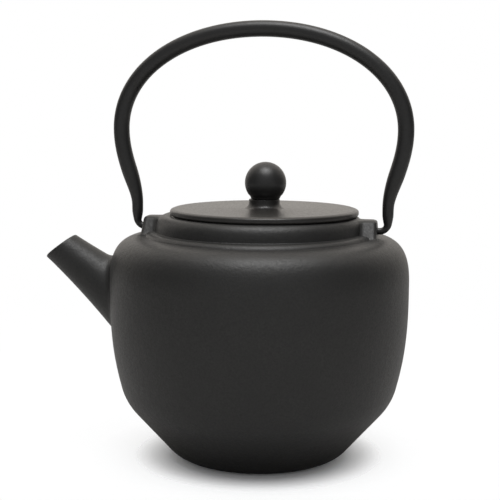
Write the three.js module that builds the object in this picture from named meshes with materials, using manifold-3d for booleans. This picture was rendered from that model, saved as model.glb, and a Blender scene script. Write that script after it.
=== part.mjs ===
// Cast-iron teapot with a swinging bail handle, a lift-off lid with a ball knob, and a stainless
// infuser basket that hangs in the neck. Millimetres, +Z up. The origin is the centre of the flat
// base. The spout points along -X, and the bail swings about a line parallel to X.
import * as THREE from "three";
import { mergeVertices } from "three/addons/utils/BufferGeometryUtils.js";
import Module from "manifold-3d";

const wasm = await Module();
wasm.setup();

// ---- Driving dimensions -------------------------------------------------------------------

// Pot casting, outside
const BODY_RADIUS = 70; // widest point of the belly
const BELLY_Z = 78;
const BASE_FLAT_RADIUS = 32;
const BASE_CORNER = { radius: 38.5, riseRadius: 43, riseZ: 4.9 }; // where flat and cone would meet
const CONE_TOP = { radius: 58.9, z: 22.8 };
const WALL_FOOT = { radius: 64.8, z: 33.4 };
const SHOULDER_TOP = { radius: 55.8, z: 104.5 };
const BEAD = { radius: 53.3, z: 106.4, slopeDeg: 60, crown: 49.9, foot: 104.6 }; // low roll round the neck
const NECK_RADIUS = 48.4;
const NECK_TOP_Z = 114.1;
const NECK_EDGE = { width: 4.5, height: 6 }; // elliptical rounding of the neck's outer top edge
const NECK_FILLET = 0.4;

// Pot casting, inside
const WALL = 3.5;
const BASE_THICKNESS = 4;
const MOUTH_RADIUS = 38.5; // the neck's opening
const SEAT = { radius: 41.5, z: 113.2 }; // rebate round the mouth that the infuser's flange drops into

// Spout: a flared cone of revolution about a sloping axis, cut off by a sloping mouth plane
const SPOUT = {
  mouth: new THREE.Vector3(-97.2, 0, 97.3),
  slopeDeg: 37.3, // of the axis, above horizontal
  mouthPlaneDeg: 38.6, // of the mouth plane, above horizontal
  mouthRadius: 8.4,
  flare: 0.095, // radius gained per millimetre along the axis
  flareGrowth: 0.0013,
  wall: 2.6,
  length: 48,
};

// Lugs that carry the bail: wedges with an upright outer face, whose two sides slope at about 45 degrees
const LUG = {
  root: 44,
  corner: 2, // rounding of the two outer edges
  levels: [
    { z: 103.5, face: 55.4, width: 24.6 },
    { z: 105.6, face: 55.1, width: 20.6 },
    { z: 108, face: 54.9, width: 16 },
    { z: 111.2, face: 54.6, width: 9.8 },
    { z: 112.4, face: 54.1, width: 7.4 },
    { z: 112.9, face: 52.9, width: 5.6 },
  ],
};
const PIVOT_Z = 107.7;
const PEG_HOLE = { radius: 1.8, bottom: 48, mouth: 58 };

// Bail handle: a round bar in the XZ plane, thinned towards its two pegs
const BAIL = {
  shift: 0.5, // the bail lies this far towards +X, within the end play of its pegs
  topZ: 200,
  sideX: 66.7,
  sideZ: 153.7,
  legX: 59.2,
  legTopZ: 118,
  bend: 3.6,
  pegTip: 48.7,
  fullness: 0.575, // Bezier handle length of the arch, as a share of its half axes
  radius: 3.75,
  legRadius: 2.6,
  pegRadius: 1.55,
};

// Infuser basket
const SHEET = 0.6; // stainless sheet
const SEAT_GAP = 0.1; // between pieces that rest on each other
const BASKET = {
  flangeRadius: 41.2,
  flangeThickness: 0.8,
  collarRadius: 37.6,
  collarDepth: 9,
  wallRadius: 36.7,
  depth: 52.5,
  bandHeight: 5,
  cornerRadius: 3,
};

// Lid and knob
const LID = {
  offset: 2.2, // the loose lid lies this far towards +X, within the play of its skirt
  radius: 44,
  thickness: 3.1,
  edge: 1.3,
  skirtOuter: 34.7,
  skirtInner: 31.3,
  skirtDepth: 5.2,
  bossRadius: 7.2,
  bossHeight: 4.4,
  bore: 2.6,
};
const KNOB = {
  offset: 0.5, // the knob sits this far off the lid's centre, within the play of the lid's bore
  radius: 9.65,
  stemRadius: 6.9,
  ballRise: 7.5,
  bore: 2.3,
  holeDepth: 11,
  gap: 0.1,
};
const SCREW = { shank: 2, length: 18.5, headRadius: 3.9, headHeight: 2.6, slot: 1, slotDepth: 1.1 };
const FLAT_WASHER = { inner: 2.2, outer: 5, thickness: 0.9 };
const LOCK_WASHER = { inner: 2.15, outer: 3.7, thickness: 1, slitDeg: 16 };

// Mesh fineness
const ROUND = 40; // sides of the large turned shapes
const SMALL_ROUND = 20;
const CURVE_STEPS = 4; // points per curved stretch of an outline

// ---- Materials ----------------------------------------------------------------------------

const material = (color, roughness, metalness) =>
  new THREE.MeshStandardMaterial({ color, roughness, metalness });
const ironCoat = material(0x2c2b2a, 0.55, 0.1);
const bailCoat = material(0x2a2a2a, 0.45, 0.2);
const knobCoat = material(0x161616, 0.35, 0.1);
const stainless = material(0xb9bab8, 0.3, 1);
const zincSteel = material(0x9a9c9e, 0.4, 1);

// ---- Helpers ------------------------------------------------------------------------------

// A closed mesh as a manifold solid.
function solid(geometry) {
  const bare = geometry.index ? geometry.toNonIndexed() : geometry.clone();
  for (const name of ["normal", "uv"]) bare.deleteAttribute(name);
  const merged = mergeVertices(bare, 1e-4);
  return new wasm.Manifold(
    new wasm.Mesh({
      numProp: 3,
      vertProperties: merged.attributes.position.array,
      triVerts: new Uint32Array(merged.index.array),
    }),
  );
}

// A manifold solid as a three.js geometry.
function geometryOf(made) {
  const mesh = made.getMesh();
  const geometry = new THREE.BufferGeometry()
    .setAttribute("position", new THREE.BufferAttribute(mesh.vertProperties, 3))
    .setIndex(new THREE.BufferAttribute(mesh.triVerts, 1));
  geometry.computeVertexNormals();
  return geometry;
}

// Turns a closed (radius, z) outline about Z. The outline runs anticlockwise in the (radius, z) plane.
function turned(points, sides = ROUND) {
  const geometry = new THREE.LatheGeometry(
    points.map(([r, z]) => new THREE.Vector2(Math.max(r, 0), z)),
    sides,
  );
  return geometry.rotateX(Math.PI / 2); // the lathe's +Y axis becomes +Z
}

// Points of a three.js 2-D path as [x, y] pairs, without repeats.
function outline(path, steps = CURVE_STEPS) {
  const pairs = path.getPoints(steps).map((p) => [p.x, p.y]);
  return pairs.filter(([x, y], i) => {
    const [px, py] = pairs[i - 1] ?? [Infinity, Infinity];
    return Math.hypot(x - px, y - py) > 1e-3;
  });
}

// A plain tube or ring between two radii and two heights.
function ring(inner, outer, bottom, top, sides = ROUND) {
  return turned(
    [
      [inner, bottom],
      [outer, bottom],
      [outer, top],
      [inner, top],
      [inner, bottom],
    ],
    sides,
  );
}

// A closed skin over a stack of rings of points, each ring anticlockwise seen from the last one.
function lofted(rings) {
  const sides = rings[0].length;
  const last = (rings.length - 1) * sides;
  const index = [];
  for (let start = 0; start < last; start += sides)
    for (let k = 0; k < sides; k++) {
      const a = start + k;
      const b = start + ((k + 1) % sides);
      index.push(a, b, a + sides, b, b + sides, a + sides);
    }
  for (let k = 1; k < sides - 1; k++) {
    index.push(0, k + 1, k, last, last + k, last + k + 1);
  }
  return new THREE.BufferGeometry()
    .setAttribute("position", new THREE.Float32BufferAttribute(rings.flat(2), 3))
    .setIndex(index);
}

// A closed round bar that follows a curve in the XZ plane, with its radius given along the curve.
function taperedBar(curve, radiusAt, steps, sides) {
  const rings = [];
  for (let i = 0; i <= steps; i++) {
    const at = curve.getPointAt(i / steps);
    const tangent = curve.getTangentAt(i / steps);
    const across = new THREE.Vector3(0, 1, 0).cross(tangent).normalize();
    const r = radiusAt(i / steps);
    const ringPoints = [];
    for (let k = 0; k < sides; k++) {
      const turn = (2 * Math.PI * k) / sides;
      const side = r * Math.cos(turn);
      ringPoints.push([at.x + side * across.x, r * Math.sin(turn), at.z + side * across.z]);
    }
    rings.push(ringPoints);
  }
  return lofted(rings);
}

function part(name, geometry, surface) {
  const mesh = new THREE.Mesh(geometry, surface);
  mesh.name = name;
  return mesh;
}

// ---- Pot casting --------------------------------------------------------------------------

function potOutside() {
  const path = new THREE.Path();
  path.moveTo(0, 0);
  path.lineTo(BASE_FLAT_RADIUS, 0);
  path.quadraticCurveTo(BASE_CORNER.radius, 0, BASE_CORNER.riseRadius, BASE_CORNER.riseZ);
  path.lineTo(CONE_TOP.radius, CONE_TOP.z);
  path.quadraticCurveTo(63.1, 27.5, WALL_FOOT.radius, WALL_FOOT.z);
  path.bezierCurveTo(68.1, 46, BODY_RADIUS, 57, BODY_RADIUS, BELLY_Z);
  path.lineTo(BODY_RADIUS, BELLY_Z + 6);
  path.bezierCurveTo(BODY_RADIUS, 95.5, 67, 104, SHOULDER_TOP.radius, SHOULDER_TOP.z);
  path.lineTo(BEAD.radius, BEAD.foot);
  const beadRun = (BEAD.z - BEAD.foot) / Math.tan(THREE.MathUtils.degToRad(BEAD.slopeDeg));
  path.quadraticCurveTo(BEAD.radius - beadRun, BEAD.z, BEAD.crown, BEAD.z);
  path.lineTo(NECK_RADIUS + NECK_FILLET, BEAD.z);
  path.lineTo(NECK_RADIUS, BEAD.z + NECK_FILLET);
  const { width, height } = NECK_EDGE;
  path.lineTo(NECK_RADIUS, NECK_TOP_Z - height);
  path.absellipse(NECK_RADIUS - width, NECK_TOP_Z - height, width, height, 0, Math.PI / 2, false, 0);
  path.lineTo(SEAT.radius, NECK_TOP_Z);
  path.lineTo(SEAT.radius, SEAT.z);
  path.lineTo(0, SEAT.z);
  return solid(turned(outline(path)));
}

function potCavity() {
  const over = 5; // the cutter runs this far above the neck
  const coneIn = 0.75 * WALL; // the wall's thickness across the cone, as a radius
  const coneUp = 0.66 * WALL; // and as a height
  const ceiling = SHOULDER_TOP.z - WALL;
  const path = new THREE.Path();
  path.moveTo(0, BASE_THICKNESS);
  path.lineTo(BASE_FLAT_RADIUS - coneIn, BASE_THICKNESS);
  path.quadraticCurveTo(
    BASE_CORNER.radius - coneIn,
    BASE_THICKNESS,
    BASE_CORNER.riseRadius - coneIn,
    BASE_CORNER.riseZ + coneUp,
  );
  path.lineTo(CONE_TOP.radius - coneIn, CONE_TOP.z + coneUp);
  path.quadraticCurveTo(59.8, 29, WALL_FOOT.radius - WALL, WALL_FOOT.z + 0.8);
  path.bezierCurveTo(64.5, 46.5, BODY_RADIUS - WALL, 57, BODY_RADIUS - WALL, BELLY_Z);
  path.bezierCurveTo(BODY_RADIUS - WALL, 92, 63, ceiling - 0.4, 53, ceiling);
  path.lineTo(MOUTH_RADIUS + 3, ceiling);
  path.quadraticCurveTo(MOUTH_RADIUS, ceiling, MOUTH_RADIUS, ceiling + 3);
  path.lineTo(MOUTH_RADIUS, NECK_TOP_Z + over);
  path.lineTo(0, NECK_TOP_Z + over);
  return solid(turned(outline(path)));
}

// The spout's outer radius at a distance inwards from the mouth, along its axis.
const spoutRadius = (t) => SPOUT.mouthRadius + SPOUT.flare * t + SPOUT.flareGrowth * t * t;

// The flared cone, thinned by `less`, from past the mouth to inside the pot, along its own axis.
function spoutCone(less, past, steps = 6) {
  const points = [[0, -past]];
  for (let i = 0; i <= steps; i++) {
    const t = -past + ((SPOUT.length + past) * i) / steps;
    points.push([spoutRadius(Math.max(t, 0)) - less, t]);
  }
  points.push([0, SPOUT.length]);
  const geometry = turned(points, SMALL_ROUND);
  // The lathe's axis turns from +Z to the way into the pot: towards +X and down.
  geometry.rotateY(Math.PI / 2 + THREE.MathUtils.degToRad(SPOUT.slopeDeg));
  return solid(geometry.translate(...SPOUT.mouth.toArray()));
}

// What lies beyond the mouth plane, as one large block.
function beyondMouth() {
  const size = 60;
  const block = new THREE.BoxGeometry(size, size, size).translate(0, 0, size / 2);
  block.rotateY(-THREE.MathUtils.degToRad(SPOUT.mouthPlaneDeg));
  return solid(block.translate(...SPOUT.mouth.toArray()));
}

// One level of a lug: a rectangle from inside the neck to its outer face, with two rounded corners.
function lugRing({ z, face, width }) {
  const { root, corner } = LUG;
  const shape = new THREE.Path();
  shape.moveTo(root, -width / 2);
  shape.lineTo(face - corner, -width / 2);
  shape.absarc(face - corner, corner - width / 2, corner, -Math.PI / 2, 0, false);
  shape.lineTo(face, width / 2 - corner);
  shape.absarc(face - corner, width / 2 - corner, corner, 0, Math.PI / 2, false);
  shape.lineTo(root, width / 2);
  return outline(shape, 2).map(([x, y]) => [x, y, z]);
}

// One lug. side 1 is on +X, side -1 over the spout.
function lug(side) {
  const block = lofted(LUG.levels.map(lugRing));
  return solid(side > 0 ? block : block.rotateZ(Math.PI));
}

function pegHole(side) {
  const { radius, bottom, mouth } = PEG_HOLE;
  const hole = new THREE.CylinderGeometry(radius, radius, mouth - bottom, 16);
  hole.rotateZ(Math.PI / 2).translate((side * (bottom + mouth)) / 2, 0, PIVOT_Z);
  return solid(hole);
}

function potCasting() {
  const spout = spoutCone(0, 12).subtract(beyondMouth());
  let casting = potOutside().add(spout).add(lug(1)).add(lug(-1));
  casting = casting.subtract(potCavity()).subtract(spoutCone(SPOUT.wall, 12));
  for (const side of [1, -1]) casting = casting.subtract(pegHole(side));
  return part("teapot_body", geometryOf(casting), ironCoat);
}

// ---- Bail handle --------------------------------------------------------------------------

// Half of the bail's centre line, from the tip of the +X peg up to the top of the arch.
function bailHalf() {
  const at = (x, z) => new THREE.Vector3(x, 0, z);
  const { topZ, sideX, sideZ, legX, legTopZ, bend, pegTip, fullness } = BAIL;
  const arcHandle = bend * 0.5523; // Bezier handle length of a quarter circle
  const half = new THREE.CurvePath();
  half.add(new THREE.LineCurve3(at(pegTip, PIVOT_Z), at(legX - bend, PIVOT_Z)));
  half.add(
    new THREE.CubicBezierCurve3(
      at(legX - bend, PIVOT_Z),
      at(legX - bend + arcHandle, PIVOT_Z),
      at(legX, PIVOT_Z + bend - arcHandle),
      at(legX, PIVOT_Z + bend),
    ),
  );
  half.add(new THREE.LineCurve3(at(legX, PIVOT_Z + bend), at(legX, legTopZ)));
  half.add(
    new THREE.CubicBezierCurve3(
      at(legX, legTopZ),
      at(legX, legTopZ + 10),
      at(sideX, sideZ - 15),
      at(sideX, sideZ),
    ),
  );
  half.add(
    new THREE.CubicBezierCurve3(
      at(sideX, sideZ),
      at(sideX, sideZ + fullness * (topZ - sideZ)),
      at(fullness * sideX, topZ),
      at(0, topZ),
    ),
  );
  return half;
}

// The bail's radius at a height: the bar is full above the legs and thins down to the pegs.
function bailRadius(point) {
  const rise = point.z - PIVOT_Z;
  const { radius, legRadius, pegRadius } = BAIL;
  const blend = THREE.MathUtils.smoothstep;
  const leg = pegRadius + (legRadius - pegRadius) * blend(rise, 0.4, 8);
  return leg + (radius - legRadius) * blend(rise, 9, 27);
}

function bailHandle() {
  const half = bailHalf();
  const samples = 42; // per half
  const points = half.getSpacedPoints(samples);
  const mirrored = points.slice(0, -1).map((p) => new THREE.Vector3(-p.x, 0, p.z));
  const line = new THREE.CatmullRomCurve3([...points, ...mirrored.reverse()]);
  const geometry = taperedBar(line, (u) => bailRadius(line.getPointAt(u)), 2 * samples, 10);
  return part("bail_handle", geometry.translate(BAIL.shift, 0, 0), bailCoat);
}

// ---- Infuser basket -----------------------------------------------------------------------

const flangeBottom = SEAT.z + SEAT_GAP;
const flangeTop = flangeBottom + BASKET.flangeThickness;
const basketBottom = flangeTop - BASKET.depth;

// Pressed flange with a short collar that centres the basket in the neck.
function infuserRim() {
  const { flangeRadius, collarRadius, collarDepth } = BASKET;
  const inner = collarRadius - SHEET;
  const outlinePoints = [
    [inner, flangeBottom - collarDepth],
    [collarRadius, flangeBottom - collarDepth],
    [collarRadius, flangeBottom],
    [flangeRadius - 0.3, flangeBottom],
    [flangeRadius, flangeBottom + 0.3],
    [flangeRadius, flangeTop - 0.3],
    [flangeRadius - 0.3, flangeTop],
    [inner + 0.6, flangeTop],
    [inner, flangeTop - 0.6],
    [inner, flangeBottom - collarDepth],
  ];
  return part("infuser_rim", turned(outlinePoints), stainless);
}

// The straining wall, spot-welded inside the collar.
function infuserWall() {
  const { wallRadius, collarDepth, bandHeight } = BASKET;
  const geometry = ring(
    wallRadius - SHEET,
    wallRadius,
    basketBottom + bandHeight - 1.5,
    flangeBottom - collarDepth + 3.5,
  );
  return part("infuser_wall", geometry, stainless);
}

// Dished floor, with an upturned edge that sits inside the band.
function infuserFloor() {
  const outer = BASKET.wallRadius - SHEET - SEAT_GAP;
  const { cornerRadius, bandHeight } = BASKET;
  const path = new THREE.Path();
  path.moveTo(0, basketBottom);
  path.lineTo(outer - cornerRadius, basketBottom);
  path.absarc(outer - cornerRadius, basketBottom + cornerRadius, cornerRadius, -Math.PI / 2, 0, false);
  path.lineTo(outer, basketBottom + bandHeight);
  path.lineTo(outer - SHEET, basketBottom + bandHeight);
  path.lineTo(outer - SHEET, basketBottom + cornerRadius);
  path.absarc(
    outer - cornerRadius,
    basketBottom + cornerRadius,
    cornerRadius - SHEET,
    0,
    -Math.PI / 2,
    true,
  );
  path.lineTo(0, basketBottom + SHEET);
  return part("infuser_floor", turned(outline(path, 2)), stainless);
}

// Plain band crimped round the foot of the wall.
function infuserBand() {
  const { wallRadius, bandHeight, cornerRadius } = BASKET;
  const inner = wallRadius + SEAT_GAP;
  const geometry = ring(inner, inner + SHEET, basketBottom + cornerRadius, basketBottom + bandHeight + 2);
  return part("infuser_band", geometry, stainless);
}

// ---- Lid and knob -------------------------------------------------------------------------

const lidBottom = flangeTop + SEAT_GAP;
const lidTop = lidBottom + LID.thickness;
const bossTop = lidTop + LID.bossHeight;

function lidCasting() {
  const { radius, edge, skirtOuter, skirtInner, skirtDepth, bossRadius, bore } = LID;
  const skirtBottom = lidBottom - skirtDepth;
  const path = new THREE.Path();
  path.moveTo(bore, lidBottom);
  path.lineTo(skirtInner, lidBottom);
  path.lineTo(skirtInner + 0.6, skirtBottom);
  path.lineTo(skirtOuter - 0.6, skirtBottom);
  path.lineTo(skirtOuter, lidBottom);
  path.lineTo(radius - edge, lidBottom);
  path.absarc(radius - edge, lidBottom + edge, edge, -Math.PI / 2, 0, false);
  path.lineTo(radius, lidTop - edge);
  path.absarc(radius - edge, lidTop - edge, edge, 0, Math.PI / 2, false);
  path.lineTo(bossRadius + 0.8, lidTop);
  path.lineTo(bossRadius, lidTop + 0.8);
  path.lineTo(bossRadius, bossTop - 0.4);
  path.lineTo(bossRadius - 0.4, bossTop);
  path.lineTo(bore, bossTop);
  path.lineTo(bore, lidBottom);
  return part("lid", turned(outline(path, 2)), ironCoat);
}

function lidKnob() {
  const { radius, stemRadius, ballRise, bore, holeDepth, gap } = KNOB;
  const foot = bossTop + gap;
  const centre = foot + ballRise;
  const low = -Math.acos(stemRadius / radius); // where the ball meets the stem
  const path = new THREE.Path();
  path.moveTo(bore, foot);
  path.lineTo(stemRadius, foot);
  path.lineTo(stemRadius, centre + radius * Math.sin(low) - 0.3);
  path.absarc(0, centre, radius, low, Math.PI / 2, false);
  path.lineTo(0, foot + holeDepth);
  path.lineTo(bore, foot + holeDepth);
  path.lineTo(bore, foot);
  return part("lid_knob", turned(outline(path, 8), 28), knobCoat);
}

const washerTop = lidBottom - SEAT_GAP;
const lockTop = washerTop - FLAT_WASHER.thickness - SEAT_GAP;
const headTop = lockTop - LOCK_WASHER.thickness - SEAT_GAP;

function knobWasher() {
  const { inner, outer, thickness } = FLAT_WASHER;
  return part("knob_washer", ring(inner, outer, washerTop - thickness, washerTop, SMALL_ROUND), zincSteel);
}

// Split lock washer: a ring with a slit.
function knobLockWasher() {
  const { inner, outer, thickness, slitDeg } = LOCK_WASHER;
  const half = THREE.MathUtils.degToRad(slitDeg) / 2;
  const shape = new THREE.Shape();
  shape.absarc(0, 0, outer, half, 2 * Math.PI - half, false);
  shape.absarc(0, 0, inner, 2 * Math.PI - half, half, true);
  shape.closePath();
  const geometry = new THREE.ExtrudeGeometry(shape, {
    depth: thickness,
    bevelEnabled: false,
    curveSegments: SMALL_ROUND / 2,
  });
  return part("knob_lock_washer", geometry.translate(0, 0, lockTop - thickness), zincSteel);
}

// Slotted pan-head screw, put in from under the lid.
function knobScrew() {
  const { shank, length, headRadius, headHeight, slot, slotDepth } = SCREW;
  const headBottom = headTop - headHeight;
  const profile = [
    [0, headBottom],
    [headRadius - 0.9, headBottom],
    [headRadius, headBottom + 0.9],
    [headRadius, headTop],
    [shank, headTop],
    [shank, headTop + length - 0.6],
    [shank - 0.6, headTop + length],
    [0, headTop + length],
  ];
  const cutter = new THREE.BoxGeometry(3 * headRadius, slot, 2 * slotDepth).translate(0, 0, headBottom);
  const screw = solid(turned(profile, SMALL_ROUND)).subtract(solid(cutter));
  return part("knob_screw", geometryOf(screw), zincSteel);
}

// ---- Assembly -----------------------------------------------------------------------------

const infuser = new THREE.Group();
infuser.add(infuserRim(), infuserWall(), infuserFloor(), infuserBand());

const knobAndFixings = new THREE.Group();
knobAndFixings.add(lidKnob(), knobWasher(), knobLockWasher(), knobScrew());
knobAndFixings.position.x = KNOB.offset;

const lidAssembly = new THREE.Group();
lidAssembly.add(lidCasting(), knobAndFixings);
lidAssembly.position.x = LID.offset;

const teapot = new THREE.Group();
teapot.add(potCasting(), bailHandle(), infuser, lidAssembly);

export default teapot;
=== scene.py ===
"""Looks for the cast-iron teapot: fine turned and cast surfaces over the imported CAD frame.

Metres, +Z up, the frame's own axes: the spout points along -X and the bail stands in the XZ plane.
"""

import math

import bmesh
import bpy
import numpy as np
from mathutils import Euler, Matrix, Vector


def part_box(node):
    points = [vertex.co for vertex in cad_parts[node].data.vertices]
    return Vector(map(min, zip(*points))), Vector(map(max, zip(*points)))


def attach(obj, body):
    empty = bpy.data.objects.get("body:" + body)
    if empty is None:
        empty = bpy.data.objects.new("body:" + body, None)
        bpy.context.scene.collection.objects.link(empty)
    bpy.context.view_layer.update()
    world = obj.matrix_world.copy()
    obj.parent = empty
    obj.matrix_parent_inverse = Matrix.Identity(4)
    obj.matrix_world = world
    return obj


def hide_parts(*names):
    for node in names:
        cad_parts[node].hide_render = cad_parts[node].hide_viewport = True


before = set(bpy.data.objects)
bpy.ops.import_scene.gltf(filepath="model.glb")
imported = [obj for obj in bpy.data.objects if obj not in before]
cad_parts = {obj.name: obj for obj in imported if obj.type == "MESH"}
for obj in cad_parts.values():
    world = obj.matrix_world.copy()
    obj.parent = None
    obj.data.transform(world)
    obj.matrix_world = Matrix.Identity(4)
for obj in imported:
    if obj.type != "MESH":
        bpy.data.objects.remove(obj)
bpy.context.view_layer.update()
MM = 0.001

# ---- Sizes, from the frame where it has them -----------------------------------------------

body_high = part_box("teapot_body")[1]
lid_low, lid_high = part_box("lid")
knob_low, knob_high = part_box("lid_knob")
rim_low, rim_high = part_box("infuser_rim")
floor_low, floor_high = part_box("infuser_floor")
wall_low, wall_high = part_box("infuser_wall")
band_low, band_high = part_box("infuser_band")
bail_low, bail_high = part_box("bail_handle")
screw_low, screw_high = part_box("knob_screw")
washer_low, washer_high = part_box("knob_washer")
lock_low, lock_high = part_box("knob_lock_washer")

NECK_TOP = body_high.z
NECK_R = 48.4 * MM
NECK_EDGE_WIDTH = 4.5 * MM
NECK_EDGE_HEIGHT = 6 * MM
BEAD_Z = 106.4 * MM  # height of the bead's crown, where the neck rises from it
BEAD_R = 53.3 * MM  # radius of its foot
BEAD_CROWN_R = 49.9 * MM
BEAD_FOOT_Z = 104.6 * MM
SHOULDER_TOP_Z = 104.5 * MM  # where the shoulder meets the bead
SEAT_R = 41.5 * MM
SEAT_Z = 113.2 * MM
MOUTH_R = 38.5 * MM
WALL = 3.5 * MM
BASE_THICKNESS = 4 * MM

SPOUT_MOUTH = Vector((-97.2 * MM, 0, 97.3 * MM))  # middle of the mouth
SPOUT_SLOPE = math.radians(37.3)  # of the spout's axis, down from level
MOUTH_PLANE = math.radians(38.6)  # of the mouth's plane, up from level towards the pot
SPOUT_R = 8.4 * MM  # at the mouth
SPOUT_FLARE = 0.095  # radius gained per metre along the axis
SPOUT_FLARE_GROWTH = 1.3  # radius gained per metre, per metre
SPOUT_WALL = 2.6 * MM
SPOUT_LENGTH = 48 * MM
SPOUT_FILLET = 4.5 * MM

LUG_FACE = 54.8 * MM  # reach of the outer face, just below the rounded top
LUG_HALF_WIDTH = 5.8 * MM  # just below the rounded top
LUG_SIDE_SLOPE = 0.68  # half width gained per metre downwards
LUG_DRAFT = 0.05  # reach gained per metre downwards
LUG_TOP = 112.9 * MM
PIVOT_Z = 107.7 * MM
PEG_HOLE_R = 1.8 * MM
PEG_HOLE_END = 48 * MM

ROUND = 224  # sides of the large turned pieces
FLOOR_GAIN = 1.1  # brightness of the floor the camera sees
QUARTER = 0.5523  # Bezier handle length of a quarter circle or ellipse, as a share of its radius


# ---- Outlines ------------------------------------------------------------------------------


def mm(*pairs):
    """Pairs given in millimetres, in metres."""
    return [(a * MM, b * MM) for a, b in pairs]


def bezier(points, steps=10):
    """Points along a Bezier curve of any degree."""
    pts = np.array(points, float)
    n = len(pts) - 1
    out = []
    for t in np.linspace(0, 1, steps + 1):
        weights = [math.comb(n, k) * t**k * (1 - t) ** (n - k) for k in range(n + 1)]
        out.append(tuple(np.dot(weights, pts)))
    return out


def rounded(corners, steps=5):
    """An open outline through (x, y, radius) corners, with each corner that has a radius rounded off."""
    out = []
    for i, (x, y, radius) in enumerate(corners):
        here = np.array((x, y))
        if radius == 0:
            out.append((x, y))
            continue
        back = np.array(corners[i - 1][:2]) - here
        on = np.array(corners[(i + 1) % len(corners)][:2]) - here
        back /= np.linalg.norm(back)
        on /= np.linalg.norm(on)
        half = math.acos(max(-1, min(1, float(back @ on)))) / 2
        reach = radius / math.tan(half)
        middle = here + (back + on) / np.linalg.norm(back + on) * radius / math.sin(half)
        start = here + back * reach - middle
        end = here + on * reach - middle
        turn = math.atan2(start[0] * end[1] - start[1] * end[0], float(start @ end))
        for k in range(steps + 1):
            a = turn * k / steps
            c, s = math.cos(a), math.sin(a)
            out.append((middle[0] + c * start[0] - s * start[1], middle[1] + s * start[0] + c * start[1]))
    return out


# ---- Mesh helpers --------------------------------------------------------------------------


def solid(name, verts, faces):
    """A new mesh object with its faces turned outwards."""
    mesh = bpy.data.meshes.new(name)
    mesh.from_pydata([tuple(map(float, v)) for v in verts], [], faces)
    bm = bmesh.new()
    bm.from_mesh(mesh)
    bmesh.ops.remove_doubles(bm, verts=bm.verts, dist=1e-7)
    bmesh.ops.recalc_face_normals(bm, faces=bm.faces)
    bm.to_mesh(mesh)
    bm.free()
    obj = bpy.data.objects.new(name, mesh)
    bpy.context.scene.collection.objects.link(obj)
    return obj


def turned(name, outline, sides=ROUND, centre=(0.0, 0.0), closed=False):
    """A solid of revolution about a vertical axis through centre. The (radius, z) outline starts and ends
    on the axis, or is closed on itself."""
    verts, rows = [], []
    for r, z in outline:
        if r < 1e-7:
            rows.append([len(verts)] * sides)
            verts.append((centre[0], centre[1], z))
            continue
        rows.append(list(range(len(verts), len(verts) + sides)))
        for k in range(sides):
            a = 2 * math.pi * k / sides
            verts.append((centre[0] + r * math.cos(a), centre[1] + r * math.sin(a), z))
    pairs = list(zip(rows, rows[1:])) + ([(rows[-1], rows[0])] if closed else [])
    faces = []
    for low, high in pairs:
        for k in range(sides):
            n = (k + 1) % sides
            face = tuple(dict.fromkeys((low[k], low[n], high[n], high[k])))
            if len(face) > 2:
                faces.append(face)
    return solid(name, verts, faces)


def lofted(name, rings):
    """A closed skin over rings of equally many points, with flat ends."""
    count = len(rings[0])
    verts = np.concatenate([np.asarray(r, float) for r in rings])
    faces = [tuple(range(count)), tuple(range(len(verts) - count, len(verts)))]
    for i in range(len(rings) - 1):
        for k in range(count):
            n = (k + 1) % count
            faces.append((i * count + k, i * count + n, (i + 1) * count + n, (i + 1) * count + k))
    return solid(name, verts, faces)


def pins(name, starts, ends, radius, sides=8):
    """Many separate round pins, each from a start to an end point, as one mesh."""
    verts, faces = [], []
    for start, end in zip(starts, ends):
        start, end = Vector(start), Vector(end)
        along = (end - start).normalized()
        across = along.orthogonal().normalized()
        other = along.cross(across)
        first = len(verts)
        for at in (start, end):
            for k in range(sides):
                a = 2 * math.pi * (k + 0.5) / sides
                verts.append(at + radius * (math.cos(a) * across + math.sin(a) * other))
        faces.append(tuple(first + k for k in range(sides)))
        faces.append(tuple(first + sides + k for k in range(sides)))
        for k in range(sides):
            n = (k + 1) % sides
            faces.append((first + k, first + n, first + sides + n, first + sides + k))
    return solid(name, verts, faces)


def combine(obj, tools, operation):
    """Joins the tools to obj, or cuts them from it, and removes them."""
    for tool in tools:
        change = obj.modifiers.new(operation, "BOOLEAN")
        change.operation = operation
        change.solver = "MANIFOLD"
        change.object = tool
    bpy.context.view_layer.update()
    made = obj.evaluated_get(bpy.context.evaluated_depsgraph_get())
    mesh = bpy.data.meshes.new_from_object(made)
    obj.modifiers.clear()
    obj.data = mesh
    for tool in tools:
        bpy.data.objects.remove(tool)
    return obj


def finish_piece(obj, body, nodes, surfaces, sharp_deg=38):
    """Smooth shading with crisp corners, the material, and the piece's place in the frame."""
    obj.data.materials.clear()
    for surface in surfaces:
        obj.data.materials.append(surface)
    obj.data.shade_smooth()
    obj.data.set_sharp_from_angle(angle=math.radians(sharp_deg))
    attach(obj, body)
    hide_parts(*nodes)
    return obj


# ---- Materials -----------------------------------------------------------------------------


def add_node(tree, kind, inputs=None, **settings):
    """A node in tree. Each input is a value, or an output socket to link from."""
    node = tree.nodes.new(kind)
    for key, value in settings.items():
        setattr(node, key, value)
    for key, value in (inputs or {}).items():
        if isinstance(value, bpy.types.NodeSocket):
            tree.links.new(value, node.inputs[key])
        else:
            node.inputs[key].default_value = value
    return node


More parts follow.
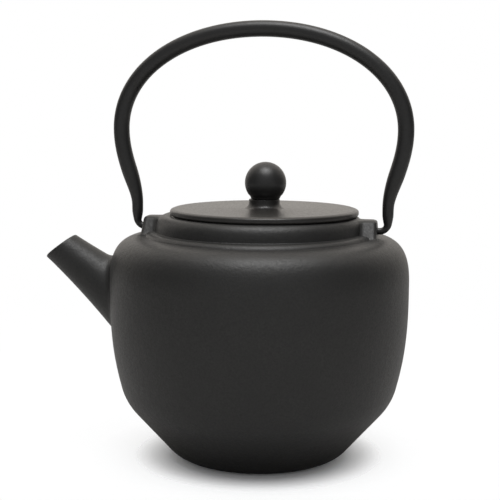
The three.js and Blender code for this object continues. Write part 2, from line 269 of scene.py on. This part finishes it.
class Nodes:
    """A short way to write a material's node tree."""

    def __init__(self, name):
        self.material = bpy.data.materials.new(name)
        self.material.use_nodes = True
        self.tree = self.material.node_tree
        self.shader = self.tree.nodes["Principled BSDF"]
        self.place = self.add("ShaderNodeTexCoord").outputs["Object"]

    def add(self, kind, inputs=None, **settings):
        return add_node(self.tree, kind, inputs, **settings)

    def noise(self, size, detail=3.0, rough=0.5, stretch=(1, 1, 1)):
        """Noise whose features are about size metres across."""
        where = self.place
        if stretch != (1, 1, 1):
            where = self.add("ShaderNodeMapping", {"Vector": where, "Scale": stretch}).outputs[0]
        wanted = {"Vector": where, "Scale": 1 / size, "Detail": detail, "Roughness": rough}
        return self.add("ShaderNodeTexNoise", wanted).outputs["Fac"]

    def spread(self, value, low, high, out_low, out_high):
        wanted = {"Value": value, "From Min": low, "From Max": high, "To Min": out_low, "To Max": out_high}
        return self.add("ShaderNodeMapRange", wanted).outputs[0]

    def colours(self, value, *stops):
        ramp = self.add("ShaderNodeValToRGB", {"Fac": value})
        marks = ramp.color_ramp.elements
        while len(marks) < len(stops):
            marks.new(0.5)
        for mark, (place, colour) in zip(marks, stops):
            mark.position = place
            mark.color = (*colour, 1)
        return ramp.outputs[0]

    def bump(self, *heights):
        """Layers of (height, depth in metres), the first one lowest."""
        normal = None
        for height, depth in heights:
            wanted = {"Height": height, "Distance": depth, "Strength": 1.0}
            if normal:
                wanted["Normal"] = normal
            normal = self.add("ShaderNodeBump", wanted).outputs[0]
        self.tree.links.new(normal, self.shader.inputs["Normal"])

    def set(self, **values):
        for key, value in values.items():
            socket = self.shader.inputs[key.replace("_", " ")]
            if isinstance(value, bpy.types.NodeSocket):
                self.tree.links.new(value, socket)
            else:
                socket.default_value = value
        return self.material


def grey(value):
    return (value, value, value)


def coated_iron(name, dark, light, roughness, grain, swell, sheen=0.5):
    """Black coating over cast iron: fine grain, shallow pits, soft swells and a little mottling."""
    n = Nodes(name)
    fine = n.noise(0.9 * MM, detail=4, rough=0.62)
    patches = n.noise(14 * MM, detail=2)
    pits = n.noise(2.6 * MM, detail=2)
    n.bump((n.noise(11 * MM, detail=2), swell), (pits, 1.3 * grain), (fine, grain))
    colour = n.colours(fine, (0.3, dark), (0.72, light))
    mottled = n.add(
        "ShaderNodeMix",
        {"Factor": n.spread(patches, 0.35, 0.65, 0.0, 0.35), "A": colour, "B": (*dark, 1)},
        data_type="RGBA",
    )
    rough = n.spread(fine, 0.3, 0.7, roughness + 0.07, roughness - 0.07)
    return n.set(Base_Color=mottled.outputs["Result"], Roughness=rough, Specular_IOR_Level=sheen)


iron = coated_iron("coated_iron", grey(0.013), (0.023, 0.023, 0.022), 0.46, 0.09 * MM, 0.12 * MM)
lid_iron = coated_iron("lid_iron", (0.016, 0.015, 0.014), (0.030, 0.028, 0.026), 0.35, 0.05 * MM, 0.06 * MM)
bail_coat = coated_iron("bail_coat", grey(0.010), grey(0.018), 0.41, 0.03 * MM, 0.12 * MM, 0.56)
knob_coat = coated_iron("knob_coat", grey(0.013), grey(0.020), 0.40, 0.02 * MM, 0.05 * MM, 0.6)


def enamel():
    n = Nodes("enamel")
    n.bump((n.noise(6 * MM, detail=2), 0.05 * MM), (n.noise(0.7 * MM, detail=1), 0.004 * MM))
    tint = n.colours(n.noise(9 * MM), (0.3, (0.010, 0.010, 0.011)), (0.7, (0.016, 0.016, 0.017)))
    rough = n.spread(n.noise(3 * MM), 0.3, 0.7, 0.16, 0.26)
    return n.set(Base_Color=tint, Roughness=rough, Coat_Weight=0.5, Coat_Roughness=0.08)


def steel(name, colour, roughness, stretch):
    """Metal sheet with fine rolling lines and slight smears."""
    n = Nodes(name)
    lines = n.noise(0.35 * MM, detail=3, rough=0.6, stretch=stretch)
    smears = n.noise(9 * MM, detail=3)
    n.bump((lines, 0.006 * MM))
    pale = tuple(min(1, 1.08 * c) for c in colour)
    tint = n.colours(lines, (0.3, colour), (0.7, pale))
    rough = n.add(
        "ShaderNodeMath",
        {
            0: n.spread(lines, 0.3, 0.7, roughness - 0.05, roughness + 0.06),
            1: n.spread(smears, 0.3, 0.7, -0.03, 0.05),
        },
        operation="ADD",
    )
    return n.set(Base_Color=tint, Roughness=rough.outputs[0], Metallic=1.0)


enamel_black = enamel()
sheet_steel = steel("sheet_steel", (0.56, 0.55, 0.53), 0.27, (0.15, 0.15, 1))
zinc = steel("zinc", (0.52, 0.54, 0.56), 0.36, (1, 1, 1))

# ---- Pot casting ---------------------------------------------------------------------------

wall_outline = (
    bezier(mm((43, 4.9), (58.9, 22.8)), 4)
    + bezier(mm((58.9, 22.8), (63.1, 27.5), (64.8, 33.4)), 14)[1:]
    + bezier(mm((64.8, 33.4), (68.1, 46), (70, 57), (70, 78)), 22)[1:]
    + bezier(mm((70, 84), (70, 95.5), (67, 104), (55.8, 104.5)), 32)
)
bead_outline = bezier([(BEAD_R, BEAD_FOOT_Z), (BEAD_R - 1 * MM, BEAD_Z), (BEAD_CROWN_R, BEAD_Z)], 12)
edge_low = NECK_TOP - NECK_EDGE_HEIGHT
edge_in = NECK_R - NECK_EDGE_WIDTH
neck_outline = (
    rounded([(BEAD_CROWN_R, BEAD_Z, 0), (NECK_R, BEAD_Z, 0.4 * MM), (NECK_R, edge_low, 0)])[1:]
    + bezier(
        [
            (NECK_R, edge_low),
            (NECK_R, edge_low + QUARTER * NECK_EDGE_HEIGHT),
            (edge_in + QUARTER * NECK_EDGE_WIDTH, NECK_TOP),
            (edge_in, NECK_TOP),
        ],
        18,
    )[1:]
    + rounded(
        [
            (edge_in, NECK_TOP, 0),
            (SEAT_R, NECK_TOP, 0.3 * MM),
            (SEAT_R, SEAT_Z, 0.1 * MM),
            (MOUTH_R, SEAT_Z, 0.5 * MM),
            (MOUTH_R, SHOULDER_TOP_Z - WALL, 2.5 * MM),
            (53 * MM, SHOULDER_TOP_Z - WALL, 0),
        ],
        6,
    )[1:]
)
inside_outline = (
    bezier(mm((53, 101), (63, 100.6), (66.5, 92), (66.5, 78)), 24)[1:]
    + bezier(mm((66.5, 78), (66.5, 57), (64.5, 46.5), (61.3, 34.2)), 20)[1:]
    + bezier(mm((61.3, 34.2), (59.8, 29), (56.3, 25.1)), 10)[1:]
    + bezier(mm((40.4, 7.2), (35.9, 4), (29.4, 4)), 10)
    + [(0, BASE_THICKNESS)]
)
foot_outline = [(0, 0)] + bezier(mm((32, 0), (38.5, 0), (43, 4.9)), 10)[:-1]
pot_outline = foot_outline + wall_outline + bead_outline + neck_outline + inside_outline

outline_r = np.array([p[0] for p in wall_outline])
outline_z = np.array([p[1] for p in wall_outline])


def wall_radius(z):
    """The pot's outer radius at a height, between the foot and the shoulder's top."""
    return np.interp(z, outline_z, outline_r)


def onto_wall(points):
    """Points moved level onto the pot's outer surface."""
    turn = np.arctan2(points[:, 1], points[:, 0])
    r = wall_radius(points[:, 2])
    return np.column_stack((r * np.cos(turn), r * np.sin(turn), points[:, 2]))


def wall_normal(points):
    """The pot's outward normals at points on its outer surface."""
    turn = np.arctan2(points[:, 1], points[:, 0])
    dz = 0.2 * MM
    slope = (wall_radius(points[:, 2] + dz) - wall_radius(points[:, 2] - dz)) / (2 * dz)
    across = 1 / np.sqrt(1 + slope**2)
    return np.column_stack((across * np.cos(turn), across * np.sin(turn), -slope * across))


# The spout is a loft of rings about its sloping axis, from the mouth plane to the pot's wall.
SPOUT_SIDES = 96
BORE_START = 6 * MM  # the bore's cutter starts this far outside the mouth
turn = np.linspace(0, 2 * np.pi, SPOUT_SIDES, endpoint=False)
spout_axis = np.array((math.cos(SPOUT_SLOPE), 0, -math.sin(SPOUT_SLOPE)))
spout_up = np.array((math.sin(SPOUT_SLOPE), 0, math.cos(SPOUT_SLOPE)))
mouth_normal = np.array((-math.sin(MOUTH_PLANE), 0, math.cos(MOUTH_PLANE)))


def spout_radius(t):
    t = np.maximum(t, 0)
    return SPOUT_R + SPOUT_FLARE * t + SPOUT_FLARE_GROWTH * t * t


def spout_ring(t, less=0.0):
    """One point per side at distance t along the axis, on the outer skin or less metres inside it."""
    t = np.broadcast_to(t, turn.shape)
    r = spout_radius(t) - less
    out = np.cos(turn)[:, None] * spout_up + np.sin(turn)[:, None] * np.array((0, 1, 0))
    return np.array(SPOUT_MOUTH) + t[:, None] * spout_axis + r[:, None] * out


def mouth_distance(less=0.0):
    """How far along the axis the mouth plane cuts each side of the skin."""
    t = np.zeros_like(turn)
    for _ in range(8):
        r = spout_radius(t) - less
        t = -r * np.cos(turn) * (spout_up @ mouth_normal) / (spout_axis @ mouth_normal)
    return t


def wall_distance():
    """How far along the axis each side of the skin meets the pot's wall."""
    near = np.full_like(turn, 5 * MM)
    far = np.full_like(turn, SPOUT_LENGTH)
    for _ in range(40):
        middle = (near + far) / 2
        at = spout_ring(middle)
        outside = np.hypot(at[:, 0], at[:, 1]) > wall_radius(at[:, 2])
        near = np.where(outside, middle, near)
        far = np.where(outside, far, middle)
    return near


def spout_solid():
    lip = 0.9 * MM
    mouth = mouth_distance()
    wall = wall_distance()
    corner = spout_ring(wall)
    along_seam = np.roll(corner, -1, 0) - np.roll(corner, 1, 0)
    away = np.cross(along_seam, wall_normal(corner))
    away /= np.linalg.norm(away, axis=1)[:, None]
    middle = np.array(SPOUT_MOUTH) + wall.mean() * spout_axis
    away *= np.sign(np.sum(away * (corner - middle), axis=1))[:, None]
    outwards = spout_ring(wall - 1 * MM) - corner
    outwards /= np.linalg.norm(outwards, axis=1)[:, None]
    half = np.arccos(np.clip(np.sum(away * outwards, axis=1), -1, 1)) / 2
    reach = np.minimum(SPOUT_FILLET / np.tan(half), 8 * MM)
    skin_end = wall - reach
    foot = onto_wall(corner + away * reach[:, None])

    rings = []
    for a in np.linspace(0, math.pi / 2, 7):
        rings.append(spout_ring(mouth + lip * (1 - math.cos(a)), lip * (1 - math.sin(a))))
    for share in np.linspace(0, 1, 22)[1:]:
        rings.append(spout_ring(mouth + lip + share * (skin_end - mouth - lip)))
    start = rings[-1]
    for t in np.linspace(0, 1, 11)[1:]:
        rings.append((1 - t) ** 2 * start + 2 * t * (1 - t) * corner + t * t * foot)
    rings[-1] = foot - 0.03 * MM * wall_normal(foot)
    rings.append(foot - 1.3 * MM * wall_normal(foot))
    centre = onto_wall(middle[None, :]) - 1.6 * MM * wall_normal(onto_wall(middle[None, :]))
    rings.append(0.02 * rings[-1] + 0.98 * centre)
    return lofted("spout", rings)


def spout_bore():
    lip = 0.7 * MM
    mouth = mouth_distance(SPOUT_WALL)
    rings = [spout_ring(mouth - BORE_START, SPOUT_WALL - lip)]
    for a in np.linspace(0, math.pi / 2, 6):
        rings.append(spout_ring(mouth + lip * math.sin(a), SPOUT_WALL - lip * (1 - math.sin(a))))
    for share in np.linspace(0, 1, 16)[1:]:
        rings.append(spout_ring(mouth + lip + share * (SPOUT_LENGTH - mouth - lip), SPOUT_WALL))
    return lofted("spout_bore", rings)


def lug_plan(neck, face, half_width, fillet=3.2 * MM):
    """A lug's outline at one level: from inside the neck, filleted to it, with rounded outer corners."""
    corner = min(2 * MM, 0.8 * half_width)
    reach = math.sqrt((neck + fillet) ** 2 - (half_width + fillet) ** 2)
    centre = np.array((reach, half_width + fillet))
    on_neck = centre * neck / (neck + fillet)
    first = math.atan2(on_neck[1] - centre[1], on_neck[0] - centre[0]) % (2 * math.pi)
    half = [(neck - 4 * MM, on_neck[1]), (neck - 2 * MM, on_neck[1])]
    for a in np.linspace(first, 1.5 * math.pi, 7):
        half.append((centre[0] + fillet * math.cos(a), centre[1] + fillet * math.sin(a)))
    for a in np.linspace(math.pi / 2, 0, 9):
        half.append((face + corner * (math.cos(a) - 1), half_width + corner * (math.sin(a) - 1)))
    return np.array(half + [(x, -y) for x, y in reversed(half)])


def neck_radius(z):
    """The neck's outer radius at a height above the bead."""
    rise = min(1.0, max(0.0, (z - edge_low) / NECK_EDGE_HEIGHT))
    return edge_in + NECK_EDGE_WIDTH * math.sqrt(1 - rise**2)


def lug(side):
    """A wedge with sloping sides, a fillet to the shoulder and a rounded top."""
    foot = 1.2 * MM
    edge = 1.6 * MM
    straight_low = SHOULDER_TOP_Z + foot
    straight_high = LUG_TOP - edge
    lean = math.atan(LUG_SIDE_SLOPE)
    side_edge = edge / (1 - math.sin(lean))  # rounds the sloping sides over the same height
    flare = foot + 0.3 * MM
    levels = [(SHOULDER_TOP_Z - 1.5 * MM, flare, flare), (SHOULDER_TOP_Z - 0.5 * MM, flare, flare)]
    for a in np.linspace(0, math.pi / 2, 7):
        out = foot * (1 - math.sin(a))
        levels.append((straight_low - foot * math.cos(a), out, out))
    for a in np.linspace(0, math.pi / 2, 9):
        steepness = math.asin(min(1.0, math.sin(lean) + edge * math.sin(a) / side_edge))
        inwards = side_edge * (math.cos(lean) - math.cos(steepness))
        levels.append((straight_high + edge * math.sin(a), -edge * (1 - math.cos(a)), -inwards))
    rings = []
    for z, face_out, side_out in levels:
        below = straight_high - min(z, straight_high)
        half_width = LUG_HALF_WIDTH + LUG_SIDE_SLOPE * below + side_out
        plan = lug_plan(neck_radius(z), LUG_FACE + LUG_DRAFT * below + face_out, half_width)
        rings.append(np.column_stack((side * plan[:, 0], plan[:, 1], np.full(len(plan), z))))
    return lofted("lug", rings)


def level_bar(name, x0, x1, radius, sides=32):
    """A round bar along X at the bail's pivot height."""
    a = np.linspace(0, 2 * np.pi, sides, endpoint=False)
    y, z = radius * np.cos(a), PIVOT_Z + radius * np.sin(a)
    return lofted(name, [np.column_stack((np.full(sides, x), y, z)) for x in (x0, x1)])


pot = turned("pot_casting", pot_outline)
combine(pot, [spout_solid(), lug(1), lug(-1)], "UNION")
holes = [level_bar("peg_hole", s * PEG_HOLE_END, s * (LUG_FACE + 5 * MM), PEG_HOLE_R) for s in (1, -1)]
combine(pot, [spout_bore()] + holes, "DIFFERENCE")
finish_piece(pot, "pot", ["teapot_body"], [iron, enamel_black])
for face in pot.data.polygons:
    x, y, z = face.center
    r = math.hypot(x, y)
    below_neck = z < SEAT_Z - 0.6 * MM and r < MOUTH_R + 0.2 * MM
    in_wall = z < SHOULDER_TOP_Z - 0.8 * WALL and r < wall_radius(z) - 0.8 * WALL
    if (below_neck or in_wall) and z > 0.9 * BASE_THICKNESS:
        face.material_index = 1  # the enamelled inside

# ---- Bail handle ---------------------------------------------------------------------------

BAIL_R = 3.75 * MM
LEG_R = 2.6 * MM  # low on the legs
PEG_R = 1.55 * MM
BAIL_SHIFT = (bail_high.x + bail_low.x) / 2  # the pegs have some end play
BAIL_TOP = bail_high.z - BAIL_R
BAIL_SIDE = 66.7 * MM
bend = 3.6 * MM  # radius of the bend from peg to leg
leg_x = 59.2 * MM
leg_top = 118 * MM  # the legs are straight up to here
side_z = 153.7 * MM  # the bail is widest here
quarter = QUARTER * bend
fullness = 0.575  # of the arch: 0.5523 would make it a quarter ellipse
half_line = (
    bezier([(48.7 * MM, PIVOT_Z), (leg_x - bend, PIVOT_Z)], 3)
    + bezier(
        [
            (leg_x - bend, PIVOT_Z),
            (leg_x - bend + quarter, PIVOT_Z),
            (leg_x, PIVOT_Z + bend - quarter),
            (leg_x, PIVOT_Z + bend),
        ],
        10,
    )[1:]
    + bezier([(leg_x, PIVOT_Z + bend), (leg_x, leg_top)], 4)[1:]
    + bezier(
        [
            (leg_x, leg_top),
            (leg_x, leg_top + 10 * MM),
            (BAIL_SIDE, side_z - 15 * MM),
            (BAIL_SIDE, side_z),
        ],
        22,
    )[1:]
    + bezier(
        [
            (BAIL_SIDE, side_z),
            (BAIL_SIDE, side_z + fullness * (BAIL_TOP - side_z)),
            (fullness * BAIL_SIDE, BAIL_TOP),
            (0, BAIL_TOP),
        ],
        56,
    )[1:]
)


def smooth_step(value, low, high):
    t = min(1.0, max(0.0, (value - low) / (high - low)))
    return t * t * (3 - 2 * t)


def bail_radius(z):
    """Full on the arch, thinned down the legs to the pegs."""
    rise = z - PIVOT_Z
    leg = PEG_R + (LEG_R - PEG_R) * smooth_step(rise, 0.4 * MM, 8 * MM)
    return leg + (BAIL_R - LEG_R) * smooth_step(rise, 9 * MM, 27 * MM)


def bail_rings(sides=28):
    line = np.array(half_line + [(-x, z) for x, z in reversed(half_line[:-1])])
    tangent = np.gradient(line, axis=0)
    tangent /= np.linalg.norm(tangent, axis=1)[:, None]
    rings = []
    a = np.linspace(0, 2 * np.pi, sides, endpoint=False)
    for (x, z), (tx, tz) in zip(line, tangent):
        r = bail_radius(z)
        x += BAIL_SHIFT
        rings.append(np.column_stack((x + r * np.cos(a) * tz, r * np.sin(a), z - r * np.cos(a) * tx)))
    for end in (0, -1):
        tip = rings[end].mean(0)
        rings[end] = tip + 0.6 * (rings[end] - tip)
    return rings


finish_piece(lofted("bail", bail_rings()), "bail", ["bail_handle"], [bail_coat])

# ---- Lid and knob --------------------------------------------------------------------------

lid_centre = ((lid_low.x + lid_high.x) / 2, 0.0)
LID_R = (lid_high.x - lid_low.x) / 2
LID_SKIRT_DEPTH = 5.2 * MM
LID_BOTTOM = lid_low.z + LID_SKIRT_DEPTH
LID_TOP = LID_BOTTOM + 3.1 * MM
BOSS_R = 7.2 * MM
BOSS_TOP = lid_high.z
LID_BORE_R = 2.6 * MM
lid_outline = rounded(
    [
        (LID_BORE_R, LID_BOTTOM, 0),
        (31.3 * MM, LID_BOTTOM, 0.9 * MM),
        (31.9 * MM, lid_low.z, 0.6 * MM),
        (34.1 * MM, lid_low.z, 0.6 * MM),
        (34.7 * MM, LID_BOTTOM, 0.8 * MM),
        (LID_R, LID_BOTTOM, 1.1 * MM),
        (LID_R, LID_TOP - 0.6 * MM, 1.1 * MM),
        (LID_R - 1.8 * MM, LID_TOP, 2.5 * MM),
        (BOSS_R, LID_TOP, 3 * MM),
        (BOSS_R, BOSS_TOP, 0.5 * MM),
        (LID_BORE_R, BOSS_TOP, 0),
    ],
    6,
)
lid = turned("lid_casting", lid_outline, centre=lid_centre, closed=True)
finish_piece(lid, "lid_set", ["lid"], [lid_iron])

KNOB_R = (knob_high.x - knob_low.x) / 2
KNOB_BORE_R = 2.3 * MM
KNOB_HOLE_DEPTH = 11 * MM
knob_centre = ((knob_low.x + knob_high.x) / 2, 0.0)  # off the lid's centre by the play in its bore
STEM_R = 6.9 * MM
knob_middle = knob_high.z - KNOB_R
meet = math.acos(STEM_R / KNOB_R)
neck_z = knob_middle - KNOB_R * math.sin(meet)
ball_turn = np.linspace(0.16 - meet, math.pi / 2, 40)  # from just above the stem to the top
ball = [(KNOB_R * math.cos(a), knob_middle + KNOB_R * math.sin(a)) for a in ball_turn]
stem = STEM_R - 0.1 * MM
knob_hole_end = knob_low.z + KNOB_HOLE_DEPTH
knob_outline = (
    rounded([(KNOB_BORE_R, knob_low.z, 0), (stem, knob_low.z, 0.5 * MM), (stem, neck_z - 0.5 * MM, 0)])
    + bezier([(stem, neck_z - 0.5 * MM), (stem, neck_z + 0.2 * MM), ball[0]], 6)[1:]
    + ball[1:-1]
    + [(0, knob_high.z), (0, knob_hole_end), (KNOB_BORE_R, knob_hole_end), (KNOB_BORE_R, knob_low.z)]
)
knob = turned("ball_knob", knob_outline, 112, knob_centre)
finish_piece(knob, "lid_set", ["lid_knob"], [knob_coat])

washer = turned(
    "flat_washer",
    rounded(
        [
            (2.2 * MM, washer_low.z, 0.15 * MM),
            (5 * MM, washer_low.z, 0.3 * MM),
            (5 * MM, washer_high.z, 0.2 * MM),
            (2.2 * MM, washer_high.z, 0.15 * MM),
        ],
        3,
    ),
    64,
    knob_centre,
    closed=True,
)
finish_piece(washer, "lid_set", ["knob_washer"], [zinc])


def lock_washer():
    """Split ring, its two ends sprung slightly apart in height."""
    slit = math.radians(8)
    rings = []
    rise = 0.12 * MM
    for share in np.linspace(0, 1, 49):
        a = slit + share * (2 * math.pi - 2 * slit)
        lift = rise * (share - 0.5)
        low, high = lock_low.z + rise / 2 + lift, lock_high.z - rise / 2 + lift
        section = [(2.15 * MM, low), (3.7 * MM, low), (3.7 * MM, high), (2.15 * MM, high)]
        rings.append([(knob_centre[0] + r * math.cos(a), r * math.sin(a), z) for r, z in section])
    return lofted("split_washer", rings)


finish_piece(lock_washer(), "lid_set", ["knob_lock_washer"], [zinc])

screw = turned(
    "knob_fixing_screw",
    rounded(
        [
            (0, screw_low.z, 0),
            (3.9 * MM, screw_low.z, 1.1 * MM),
            (3.9 * MM, screw_low.z + 2.6 * MM, 0.2 * MM),
            (2 * MM, screw_low.z + 2.6 * MM, 0.1 * MM),
            (2 * MM, screw_high.z, 0.5 * MM),
            (0, screw_high.z, 0),
        ],
        5,
    ),
    64,
    knob_centre,
)
slot_plan = [(knob_centre[0] + x, y) for x, y in mm((-5, -0.5), (5, -0.5), (5, 0.5), (-5, 0.5))]
slot_ends = (screw_low.z - 1 * MM, screw_low.z + 1.1 * MM)
slot_cut = lofted("slot", [[(x, y, z) for x, y in slot_plan] for z in slot_ends])
combine(screw, [slot_cut], "DIFFERENCE")
finish_piece(screw, "lid_set", ["knob_screw"], [zinc])

# ---- Infuser basket ------------------------------------------------------------------------

SHEET = 0.6 * MM
rim_r = rim_high.x
collar_r = 37.6 * MM
rim = turned(
    "basket_rim",
    rounded(
        [
            (collar_r - SHEET, rim_low.z, 0.1 * MM),
            (collar_r, rim_low.z, 0.2 * MM),
            (collar_r, rim_high.z - 0.8 * MM, 0.3 * MM),
            (rim_r, rim_high.z - 0.8 * MM, 0.35 * MM),
            (rim_r, rim_high.z, 0.35 * MM),
            (collar_r - SHEET, rim_high.z, 0.7 * MM),
        ],
        5,
    ),
    160,
    closed=True,
)
finish_piece(rim, "infuser", ["infuser_rim"], [sheet_steel])

wall_r = wall_high.x
hole_r = 0.55 * MM
hole_pitch = 2.4 * MM
row_pitch = hole_pitch * math.sin(math.pi / 3)
strainer = turned(
    "strainer_wall",
    [
        (wall_r - SHEET, wall_low.z),
        (wall_r, wall_low.z),
        (wall_r, wall_high.z),
        (wall_r - SHEET, wall_high.z),
    ],
    192,
    closed=True,
)
starts, ends = [], []
around = int(2 * math.pi * wall_r / hole_pitch / 2) * 2
z = band_high.z + 1.6 * MM
row = 0
while z < rim_low.z - 1.4 * MM:
    for k in range(around):
        a = 2 * math.pi * (k + 0.5 * (row % 2)) / around
        for points, r in ((starts, wall_r - 2 * SHEET), (ends, wall_r + SHEET)):
            points.append((r * math.cos(a), r * math.sin(a), z))
    z += row_pitch
    row += 1
combine(strainer, [pins("holes", starts, ends, hole_r, 8)], "DIFFERENCE")
finish_piece(strainer, "infuser", ["infuser_wall"], [sheet_steel])

floor_r = floor_high.x
strainer_floor = turned(
    "strainer_floor",
    rounded(
        [
            (0, floor_low.z, 0),
            (floor_r, floor_low.z, 3 * MM),
            (floor_r, floor_high.z, 0.2 * MM),
            (floor_r - SHEET, floor_high.z, 0.2 * MM),
            (floor_r - SHEET, floor_low.z + SHEET, 2.4 * MM),
            (0, floor_low.z + SHEET, 0),
        ],
        6,
    ),
    128,
)
starts, ends = [], []
HOLES_R = 30 * MM  # the floor's holes stay within this
count = int(HOLES_R / hole_pitch) + 2
for i in range(-count, count + 1):
    for j in range(-count, count + 1):
        x = (i + 0.5 * (j % 2)) * hole_pitch
        y = j * row_pitch
        if math.hypot(x, y) < HOLES_R:
            starts.append((x, y, floor_low.z - 1 * MM))
            ends.append((x, y, floor_low.z + SHEET + 1 * MM))
combine(strainer_floor, [pins("holes", starts, ends, hole_r, 8)], "DIFFERENCE")
finish_piece(strainer_floor, "infuser", ["infuser_floor"], [sheet_steel])

band_r = band_high.x
band = turned(
    "basket_band",
    rounded(
        [
            (band_r - SHEET, band_low.z, 0.1 * MM),
            (band_r, band_low.z, 0.28 * MM),
            (band_r, band_high.z, 0.28 * MM),
            (band_r - SHEET, band_high.z, 0.1 * MM),
        ],
        4,
    ),
    160,
    closed=True,
)
finish_piece(band, "infuser", ["infuser_band"], [sheet_steel])

# ---- Floor, light and camera ---------------------------------------------------------------


def floor_sheet(name, z, material):
    """A square of floor, two metres wide, level at z."""
    half = 1.0
    corners = [(-half, -half, z), (half, -half, z), (half, half, z), (-half, half, z)]
    sheet = solid(name, corners, [(0, 1, 2, 3)])
    sheet.data.materials.append(material)
    sheet.visible_shadow = False
    return sheet


# The camera sees a white floor that melts into the background; the pot mirrors a duller one.
n = Nodes("white_floor")
floor_white = (FLOOR_GAIN, 1.03 * FLOOR_GAIN, 1.07 * FLOOR_GAIN, 1)  # cool, to cancel the warm wall light
white = n.add("ShaderNodeBsdfDiffuse", {"Color": floor_white})
clear = n.add("ShaderNodeBsdfTransparent")
distance = n.add("ShaderNodeVectorMath", {0: n.place}, operation="LENGTH").outputs["Value"]
FADE_END = 0.4  # metres from the pot's axis, where the sheet is wholly clear
# The clear share grows with distance from the pot's axis, so it also lightens the pot's rendered shadow on
# the floor towards its edge. This is a painted lightening of that shadow.
clearness = ((0.08, 0), (0.102, 0.1), (0.125, 0.42), (0.148, 0.82), (0.2, 0.95), (1, 1))
stops = [(place, grey(share)) for place, share in clearness]
fade = n.colours(n.spread(distance, 0.0, FADE_END, 0.0, 1.0), *stops)
blend = n.add("ShaderNodeMixShader", {0: fade, 1: white.outputs[0], 2: clear.outputs[0]})
n.tree.links.new(blend.outputs[0], n.tree.nodes["Material Output"].inputs["Surface"])
seen_floor = floor_sheet("seen_floor", -0.2 * MM, n.material)
seen_floor.visible_glossy = False
seen_floor.visible_diffuse = False

dull = Nodes("dull_floor").set(Base_Color=(*grey(0.45), 1), Roughness=0.9)
mirrored_floor = floor_sheet("mirrored_floor", -0.3 * MM, dull)
mirrored_floor.visible_camera = False

world = bpy.data.worlds.new("studio")
bpy.context.scene.world = world
world.use_nodes = True
sky = world.node_tree
sky.nodes.clear()

CAMERA_AZIMUTH = math.radians(9.0)  # from -Y towards +X


def lamp(azimuth, elevation, inner, outer, strength):
    """A soft round light in the sky: full within inner degrees of its centre, gone at outer degrees.

    The azimuth is in degrees to the right of the camera, 180 being behind the pot."""
    turn = CAMERA_AZIMUTH + math.radians(azimuth - 90)
    rise = math.radians(elevation)
    centre = (math.cos(turn) * math.cos(rise), math.sin(turn) * math.cos(rise), math.sin(rise))
    nearness = add_node(sky, "ShaderNodeVectorMath", {0: direction, 1: centre}, operation="DOT_PRODUCT")
    edges = {
        "Value": nearness.outputs["Value"],
        "From Min": math.cos(math.radians(outer)),
        "From Max": math.cos(math.radians(inner)),
        "To Max": strength,
    }
    return add_node(sky, "ShaderNodeMapRange", edges, interpolation_type="SMOOTHSTEP").outputs[0]


direction = add_node(sky, "ShaderNodeTexCoord").outputs["Generated"]
softbox = lamp(5, 76, 10, 26, 6.2)  # overhead
wall_behind = lamp(180, 40, 20, 80, 0.92)
room_in_front = lamp(0, 0, 20, 70, 0.3)
light = 0.08  # faint light from everywhere
for glow in (softbox, room_in_front):
    light = add_node(sky, "ShaderNodeMath", {0: light, 1: glow}, operation="ADD").outputs[0]
neutral = add_node(sky, "ShaderNodeBackground", {"Color": (1, 1, 1, 1), "Strength": light})
warm = add_node(sky, "ShaderNodeBackground", {"Color": (1, 0.94, 0.87, 1), "Strength": wall_behind})
lit = add_node(sky, "ShaderNodeAddShader", {0: neutral.outputs[0], 1: warm.outputs[0]})
plain = add_node(sky, "ShaderNodeBackground", {"Color": (1, 1, 1, 1), "Strength": 1.0})
seen = add_node(sky, "ShaderNodeLightPath").outputs["Is Camera Ray"]
mixed = add_node(sky, "ShaderNodeMixShader", {0: seen, 1: lit.outputs[0], 2: plain.outputs[0]})
add_node(sky, "ShaderNodeOutputWorld", {"Surface": mixed.outputs[0]})

# The camera stands a little to the right of the front and looks slightly down.
CAMERA_DISTANCE = 565.7 * MM
CAMERA_HEIGHT = 172 * MM
pitch = math.radians(7.5)
yaw = math.radians(-0.45)
roll = math.radians(0.25)
camera = bpy.data.objects.new("camera", bpy.data.cameras.new("camera"))
bpy.context.scene.collection.objects.link(camera)
camera.data.sensor_width = 36
camera.data.lens = 87.5
camera.location = (
    CAMERA_DISTANCE * math.sin(CAMERA_AZIMUTH),
    -CAMERA_DISTANCE * math.cos(CAMERA_AZIMUTH),
    CAMERA_HEIGHT,
)
aim = Euler((math.pi / 2 - pitch, 0, CAMERA_AZIMUTH - yaw)).to_matrix()
camera.rotation_euler = (aim @ Matrix.Rotation(roll, 3, "Z")).to_euler()
bpy.context.scene.camera = camera
bpy.context.scene.view_settings.view_transform = "Standard"

bpy.context.view_layer.update()
